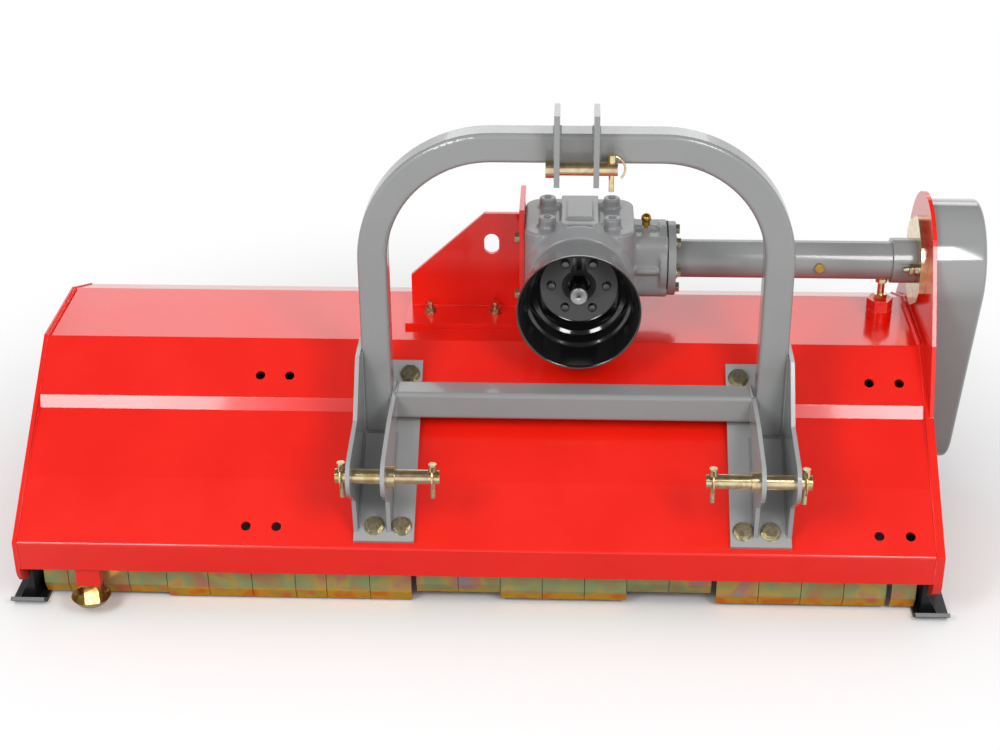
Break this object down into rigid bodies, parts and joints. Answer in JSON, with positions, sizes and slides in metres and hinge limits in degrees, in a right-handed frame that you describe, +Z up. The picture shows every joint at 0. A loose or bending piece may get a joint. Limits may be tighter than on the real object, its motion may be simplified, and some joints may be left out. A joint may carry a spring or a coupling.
{
  "type": "flail mower",
  "caption": "Three-point-hitch flail mower: folded red deck, grey hitch hoop, gearbox with drive shaft and belt drive, hammer rotor, front guard flaps, skids and rear roller.",
  "frame": {"origin": "middle of the bounding box on the ground", "axes": "+X along the rotor towards the belt cover, +Y from the hitch to the roller, +Z up"},
  "size_m": [1.882, 0.9518, 0.972],
  "materials": {
    "red_paint": "gloss red powder coat",
    "grey_paint": "satin grey powder coat",
    "grey_casting": "grey painted casting",
    "yellow_zinc": "yellow passivated zinc",
    "iridescent_zinc": "iridescent yellow zinc",
    "brass": "plain brass",
    "black_plastic": "gloss black moulding",
    "bright_steel": "ground steel",
    "belt_rubber": "black belt rubber",
    "black_casting": "black painted casting",
    "black_paint": "black paint",
    "forged_steel": "forged steel",
    "pulley_iron": "cast iron"
  },
  "bodies": {
    "frame": {"deck_shell": "red_paint", "left_side_plate": "red_paint", "right_side_plate": "red_paint", "deck_fittings": "red_paint", "belt_cover": "grey_paint", "gearbox_bracket": "red_paint", "hitch_hoop": "grey_paint", "left_hitch_foot": "grey_paint", "right_hitch_foot": "grey_paint", "lower_pins": "yellow_zinc", "top_link_pin": "yellow_zinc", "outer_lynch_pins": "yellow_zinc", "gearbox_housing": "grey_casting", "gearbox_flange": "grey_casting", "oil_plugs": "brass", "pto_guard": "black_plastic", "gearbox_bearings": "bright_steel", "drive_tube": "grey_paint", "tension_plate": "yellow_zinc", "v_belts": "belt_rubber", "rotor_bearings": "black_casting", "flap_rod": "yellow_zinc", "skids": "black_paint", "roller_brackets": "red_paint", "hex_bolts": "yellow_zinc"},
    "rotor": {"rotor": "black_paint", "hammers": "forged_steel", "lower_pulley": "pulley_iron"},
    "drive_shaft": {"drive_shaft": "bright_steel", "upper_pulley": "pulley_iron"},
    "pto_shaft": {"pto_shaft": "bright_steel", "crown_gear": "bright_steel"},
    "rear_roller": {"rear_roller": "black_paint"},
    "stand_leg": {"stand_leg": "yellow_zinc"},
    "tension_bolt": {"tension_bolt": "yellow_zinc"},
    "left_lynch_pin": {"left_lynch_pin": "yellow_zinc"},
    "right_lynch_pin": {"right_lynch_pin": "yellow_zinc"},
    "top_lynch_pin": {"top_lynch_pin": "yellow_zinc"},
    "flap_1": {"flap_1": "iridescent_zinc"},
    "flap_2": {"flap_2": "iridescent_zinc"},
    "flap_3": {"flap_3": "iridescent_zinc"},
    "flap_4": {"flap_4": "iridescent_zinc"},
    "flap_5": {"flap_5": "iridescent_zinc"},
    "flap_6": {"flap_6": "iridescent_zinc"},
    "flap_7": {"flap_7": "iridescent_zinc"},
    "flap_8": {"flap_8": "iridescent_zinc"},
    "flap_9": {"flap_9": "iridescent_zinc"},
    "flap_10": {"flap_10": "iridescent_zinc"},
    "flap_11": {"flap_11": "iridescent_zinc"},
    "flap_12": {"flap_12": "iridescent_zinc"},
    "flap_13": {"flap_13": "iridescent_zinc"},
    "flap_14": {"flap_14": "iridescent_zinc"},
    "flap_15": {"flap_15": "iridescent_zinc"},
    "flap_16": {"flap_16": "iridescent_zinc"},
    "flap_17": {"flap_17": "iridescent_zinc"},
    "flap_18": {"flap_18": "iridescent_zinc"},
    "flap_19": {"flap_19": "iridescent_zinc"},
    "flap_20": {"flap_20": "iridescent_zinc"},
    "flap_21": {"flap_21": "iridescent_zinc"},
    "flap_22": {"flap_22": "iridescent_zinc"}
  },
  "joints": [
    {"name": "rotor_spin", "type": "hinge", "parent": "frame", "child": "rotor", "pos_m": [-0.0355, 0.177, 0.17], "axis": [1, 0, 0], "continuous": true},
    {"name": "drive_shaft_spin", "type": "hinge", "parent": "frame", "child": "drive_shaft", "pos_m": [0.155, 0.075, 0.55], "axis": [1, 0, 0], "continuous": true},
    {"name": "pto_spin", "type": "hinge", "parent": "frame", "child": "pto_shaft", "pos_m": [0.155, 0.075, 0.55], "axis": [0, 1, 0], "continuous": true},
    {"name": "roller_spin", "type": "hinge", "parent": "frame", "child": "rear_roller", "pos_m": [-0.0355, 0.421, 0.055], "axis": [1, 0, 0], "continuous": true},
    {"name": "stand_slide", "type": "slide", "parent": "frame", "child": "stand_leg", "axis": [0, 0, 1], "range_m": [-0.028, 0.015]},
    {"name": "tension_screw", "type": "slide", "parent": "frame", "child": "tension_bolt", "axis": [0, 0, -1], "range_m": [0, 0.012]},
    {"name": "left_lynch_slide", "type": "slide", "parent": "frame", "child": "left_lynch_pin", "axis": [0, 0, 1], "range_m": [0, 0.075]},
    {"name": "right_lynch_slide", "type": "slide", "parent": "frame", "child": "right_lynch_pin", "axis": [0, 0, 1], "range_m": [0, 0.075]},
    {"name": "top_lynch_slide", "type": "slide", "parent": "frame", "child": "top_lynch_pin", "axis": [0, 0, 1], "range_m": [0, 0.07]},
    {"name": "flap_1_swing", "type": "hinge", "parent": "frame", "child": "flap_1", "pos_m": [-0.0355, -0.347, 0.13], "axis": [1, 0, 0], "range_deg": [0, 70]},
    {"name": "flap_2_swing", "type": "hinge", "parent": "frame", "child": "flap_2", "pos_m": [-0.0355, -0.347, 0.13], "axis": [1, 0, 0], "range_deg": [0, 70]},
    {"name": "flap_3_swing", "type": "hinge", "parent": "frame", "child": "flap_3", "pos_m": [-0.0355, -0.347, 0.13], "axis": [1, 0, 0], "range_deg": [0, 70]},
    {"name": "flap_4_swing", "type": "hinge", "parent": "frame", "child": "flap_4", "pos_m": [-0.0355, -0.347, 0.13], "axis": [1, 0, 0], "range_deg": [0, 70]},
    {"name": "flap_5_swing", "type": "hinge", "parent": "frame", "child": "flap_5", "pos_m": [-0.0355, -0.347, 0.13], "axis": [1, 0, 0], "range_deg": [0, 70]},
    {"name": "flap_6_swing", "type": "hinge", "parent": "frame", "child": "flap_6", "pos_m": [-0.0355, -0.347, 0.13], "axis": [1, 0, 0], "range_deg": [0, 70]},
    {"name": "flap_7_swing", "type": "hinge", "parent": "frame", "child": "flap_7", "pos_m": [-0.0355, -0.347, 0.13], "axis": [1, 0, 0], "range_deg": [0, 70]},
    {"name": "flap_8_swing", "type": "hinge", "parent": "frame", "child": "flap_8", "pos_m": [-0.0355, -0.347, 0.13], "axis": [1, 0, 0], "range_deg": [0, 70]},
    {"name": "flap_9_swing", "type": "hinge", "parent": "frame", "child": "flap_9", "pos_m": [-0.0355, -0.347, 0.13], "axis": [1, 0, 0], "range_deg": [0, 70]},
    {"name": "flap_10_swing", "type": "hinge", "parent": "frame", "child": "flap_10", "pos_m": [-0.0355, -0.347, 0.13], "axis": [1, 0, 0], "range_deg": [0, 70]},
    {"name": "flap_11_swing", "type": "hinge", "parent": "frame", "child": "flap_11", "pos_m": [-0.0355, -0.347, 0.13], "axis": [1, 0, 0], "range_deg": [0, 70]},
    {"name": "flap_12_swing", "type": "hinge", "parent": "frame", "child": "flap_12", "pos_m": [-0.0355, -0.347, 0.13], "axis": [1, 0, 0], "range_deg": [0, 70]},
    {"name": "flap_13_swing", "type": "hinge", "parent": "frame", "child": "flap_13", "pos_m": [-0.0355, -0.347, 0.13], "axis": [1, 0, 0], "range_deg": [0, 70]},
    {"name": "flap_14_swing", "type": "hinge", "parent": "frame", "child": "flap_14", "pos_m": [-0.0355, -0.347, 0.13], "axis": [1, 0, 0], "range_deg": [0, 70]},
    {"name": "flap_15_swing", "type": "hinge", "parent": "frame", "child": "flap_15", "pos_m": [-0.0355, -0.347, 0.13], "axis": [1, 0, 0], "range_deg": [0, 70]},
    {"name": "flap_16_swing", "type": "hinge", "parent": "frame", "child": "flap_16", "pos_m": [-0.0355, -0.347, 0.13], "axis": [1, 0, 0], "range_deg": [0, 70]},
    {"name": "flap_17_swing", "type": "hinge", "parent": "frame", "child": "flap_17", "pos_m": [-0.0355, -0.347, 0.13], "axis": [1, 0, 0], "range_deg": [0, 70]},
    {"name": "flap_18_swing", "type": "hinge", "parent": "frame", "child": "flap_18", "pos_m": [-0.0355, -0.347, 0.13], "axis": [1, 0, 0], "range_deg": [0, 70]},
    {"name": "flap_19_swing", "type": "hinge", "parent": "frame", "child": "flap_19", "pos_m": [-0.0355, -0.347, 0.13], "axis": [1, 0, 0], "range_deg": [0, 70]},
    {"name": "flap_20_swing", "type": "hinge", "parent": "frame", "child": "flap_20", "pos_m": [-0.0355, -0.347, 0.13], "axis": [1, 0, 0], "range_deg": [0, 70]},
    {"name": "flap_21_swing", "type": "hinge", "parent": "frame", "child": "flap_21", "pos_m": [-0.0355, -0.347, 0.13], "axis": [1, 0, 0], "range_deg": [0, 70]},
    {"name": "flap_22_swing", "type": "hinge", "parent": "frame", "child": "flap_22", "pos_m": [-0.0355, -0.347, 0.13], "axis": [1, 0, 0], "range_deg": [0, 70]}
  ],
  "couplings": [
    {"joint": "drive_shaft_spin", "follows": "rotor_spin", "ratio": 0.75},
    {"joint": "pto_spin", "follows": "rotor_spin", "ratio": -0.25}
  ]
}
